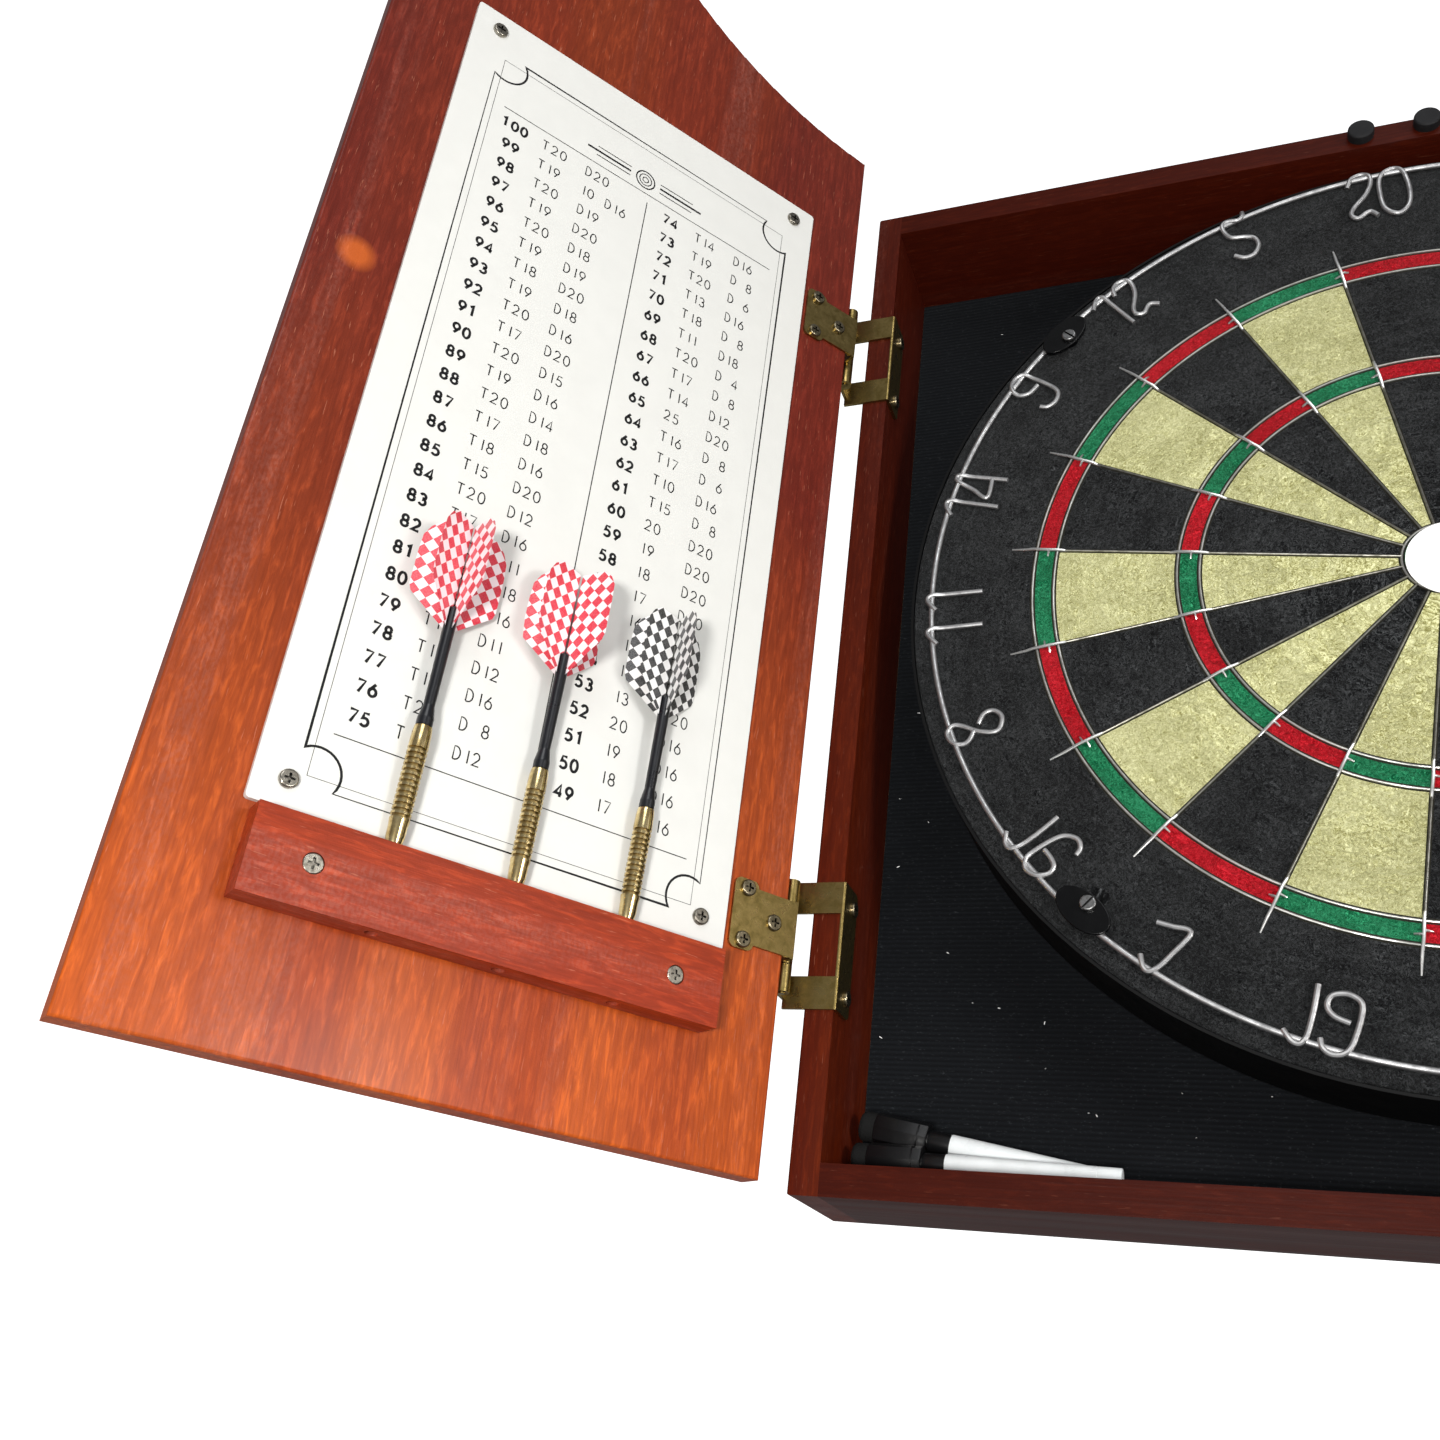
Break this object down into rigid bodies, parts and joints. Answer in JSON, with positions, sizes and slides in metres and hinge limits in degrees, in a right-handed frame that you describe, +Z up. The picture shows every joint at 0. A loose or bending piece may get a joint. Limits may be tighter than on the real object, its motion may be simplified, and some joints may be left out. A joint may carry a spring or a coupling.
{
  "type": "dart board cabinet",
  "caption": "Wall-hung wooden dart board cabinet with two arched doors on wrap hinges, a bristle board on a hanging bolt, darts in a door holder, an out chart and marker pens.",
  "frame": {"origin": "middle of the cabinet's back, on the wall face", "axes": "+Z up, +X to the right seen from the front, the front faces -Y, and +Y runs into the wall"},
  "size_m": [0.858, 0.2905, 0.6274],
  "materials": {
    "wood_case": "mahogany stain under satin lacquer",
    "wood_door": "mahogany stain, straight grain, satin lacquer",
    "wood_holder": "mahogany stain, satin lacquer",
    "plywood_back": "raw plywood",
    "chipboard": "raw pressed board",
    "cloth": "ribbed black felt-like cloth",
    "sisal": "dyed bristle, matt",
    "antique_brass": "antique brass plate, lightly mottled",
    "zinc_steel": "bright zinc plated steel",
    "wire_steel": "plated wire",
    "blackened_steel": "black enamel",
    "black_rubber": "matt",
    "black_plastic": "moulded ring clips, satin",
    "chart_white": "printed wipe-clean panel",
    "score_white": "wipe-clean panel with printed rules",
    "sticker_white": "paper-faced sticker",
    "dart_brass": "knurled brass",
    "dart_black": "moulded nylon",
    "flight_red_white": "printed film, red and white checks",
    "flight_black_white": "printed film, black and white checks",
    "pen_black": "moulded, fine grain",
    "pen_white": "moulded, smooth"
  },
  "bodies": {
    "cabinet": {"side_panel_left": "wood_case", "side_panel_right": "wood_case", "top_panel": "wood_case", "bottom_panel": "wood_case", "back_panel": "plywood_back", "backing_cloth": "cloth", "board_bracket": "zinc_steel", "bracket_screws": "zinc_steel", "door_bumpers": "black_rubber", "hinge_frame_leaves_left": "antique_brass", "hinge_frame_leaves_right": "antique_brass", "hinge_frame_screws": "antique_brass", "hinge_pins": "antique_brass"},
    "dartboard": {"sisal_disc": "sisal", "board_core": "chipboard", "board_band": "blackened_steel", "spider": "wire_steel", "number_ring": "wire_steel", "ring_clip_screws": "zinc_steel", "hanging_bolt": "zinc_steel", "board_spacers": "black_rubber", "bull_sticker": "sticker_white"},
    "clip_1": {"ring_clip_1": "black_plastic"},
    "clip_2": {"ring_clip_2": "black_plastic"},
    "clip_3": {"ring_clip_3": "black_plastic"},
    "clip_4": {"ring_clip_4": "black_plastic"},
    "left_door": {"door_panel_left": "wood_door", "chart_panel": "chart_white", "chart_screws": "zinc_steel", "dart_holder_left": "wood_holder", "holder_screws_left": "zinc_steel", "hinge_door_leaves_left": "antique_brass", "hinge_leaf_screws_left": "antique_brass", "knob_left": "antique_brass"},
    "right_door": {"door_panel_right": "wood_door", "score_panel": "score_white", "score_screws": "zinc_steel", "dart_holder_right": "wood_holder", "holder_screws_right": "zinc_steel", "hinge_door_leaves_right": "antique_brass", "hinge_leaf_screws_right": "antique_brass", "knob_right": "antique_brass"},
    "dart_1": {"dart_1_point": "zinc_steel", "dart_1_barrel": "dart_brass", "dart_1_shaft": "dart_black", "dart_1_flight": "flight_red_white"},
    "dart_2": {"dart_2_point": "zinc_steel", "dart_2_barrel": "dart_brass", "dart_2_shaft": "dart_black", "dart_2_flight": "flight_red_white"},
    "dart_3": {"dart_3_point": "zinc_steel", "dart_3_barrel": "dart_brass", "dart_3_shaft": "dart_black", "dart_3_flight": "flight_black_white"},
    "pen_1_cap": {"pen_1_cap": "pen_black"},
    "pen_1_barrel": {"pen_1_barrel": "pen_white"},
    "pen_2": {"pen_2_cap": "pen_black", "pen_2_barrel": "pen_white"}
  },
  "joints": [
    {"name": "left_door_hinge", "type": "hinge", "parent": "cabinet", "child": "left_door", "pos_m": [-0.262, -0.074, 0], "axis": [0, 0, 1], "range_deg": [-54.8, 125.2], "deforming": ["dart_1_flight", "dart_2_flight", "dart_3_flight"]},
    {"name": "right_door_hinge", "type": "hinge", "parent": "cabinet", "child": "right_door", "pos_m": [0.262, -0.074, 0], "axis": [0, 0, -1], "range_deg": [-54.8, 125.2]},
    {"name": "board_turn", "type": "hinge", "parent": "cabinet", "child": "dartboard", "pos_m": [0, -0.0514, 0.0134], "axis": [0, 1, 0], "continuous": true},
    {"name": "ring_clip_1_swivel", "type": "hinge", "parent": "dartboard", "child": "clip_1", "pos_m": [-0.15369, -0.0544, 0.15997], "axis": [0, 1, 0], "range_deg": [-90, 90]},
    {"name": "ring_clip_2_swivel", "type": "hinge", "parent": "dartboard", "child": "clip_2", "pos_m": [0.15367, -0.0544, 0.16667], "axis": [0, 1, 0], "range_deg": [-90, 90]},
    {"name": "ring_clip_3_swivel", "type": "hinge", "parent": "dartboard", "child": "clip_3", "pos_m": [0.15367, -0.0544, -0.13427], "axis": [0, 1, 0], "range_deg": [-90, 90]},
    {"name": "ring_clip_4_swivel", "type": "hinge", "parent": "dartboard", "child": "clip_4", "pos_m": [-0.14328, -0.0544, -0.13816], "axis": [0, 1, 0], "range_deg": [-90, 90]},
    {"name": "dart_1_lift", "type": "slide", "parent": "left_door", "child": "dart_1", "axis": [-0.0399, 0.0282, -0.9988], "range_m": [-0.045, 0]},
    {"name": "dart_2_lift", "type": "slide", "parent": "left_door", "child": "dart_2", "axis": [-0.0399, 0.0282, -0.9988], "range_m": [-0.045, 0]},
    {"name": "dart_3_lift", "type": "slide", "parent": "left_door", "child": "dart_3", "axis": [-0.0399, 0.0282, -0.9988], "range_m": [-0.045, 0]},
    {"name": "pen_1_take_out", "type": "slide", "parent": "cabinet", "child": "pen_1_cap", "axis": [0, 1, 0], "range_m": [-0.075, 0]},
    {"name": "pen_1_uncap", "type": "slide", "parent": "pen_1_cap", "child": "pen_1_barrel", "axis": [1, 0, 0], "range_m": [0, 0.02]},
    {"name": "pen_2_take_out", "type": "slide", "parent": "pen_1_cap", "child": "pen_2", "axis": [0, 0, 1], "range_m": [0, 0.04]}
  ]
}
